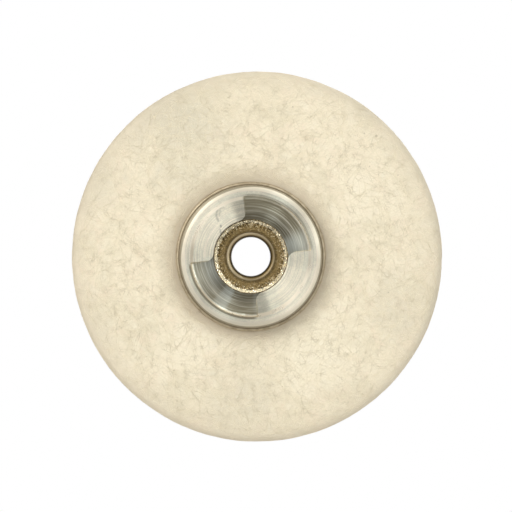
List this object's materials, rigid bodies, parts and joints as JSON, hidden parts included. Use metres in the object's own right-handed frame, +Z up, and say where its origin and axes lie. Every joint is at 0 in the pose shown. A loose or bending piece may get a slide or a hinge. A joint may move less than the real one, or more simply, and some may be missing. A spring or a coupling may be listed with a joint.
{
  "type": "felt polishing wheel",
  "caption": "Thick felt disc bonded between washers on a metal hub, with a jaw-pocketed front collar, a plain rear collar and a bronze-bushed bore.",
  "frame": {"origin": "on the bore's axis, in the middle plane of the felt", "axes": "+Y along the bore from the jawed front face to the rear, +Z up, +X to the right as seen from the front"},
  "size_m": [0.03, 0.0094, 0.03],
  "materials": {
    "felt": "dense pressed wool felt, cream, cloudy and hairy",
    "turned_steel": "bright turned steel with fine concentric tool marks and polished edges",
    "sintered_bronze": "brown oil-filled sintered bronze, grainy, burnished at the bore",
    "washer_steel": "thin tumbled steel",
    "adhesive": "thin film of hardened amber adhesive"
  },
  "bodies": {
    "root": {"felt_disc": "felt", "drive_hub": "turned_steel", "bearing_bush": "sintered_bronze", "front_washer": "washer_steel", "rear_washer": "washer_steel", "front_adhesive": "adhesive", "rear_adhesive": "adhesive", "rear_collar": "turned_steel"}
  },
  "joints": []
}
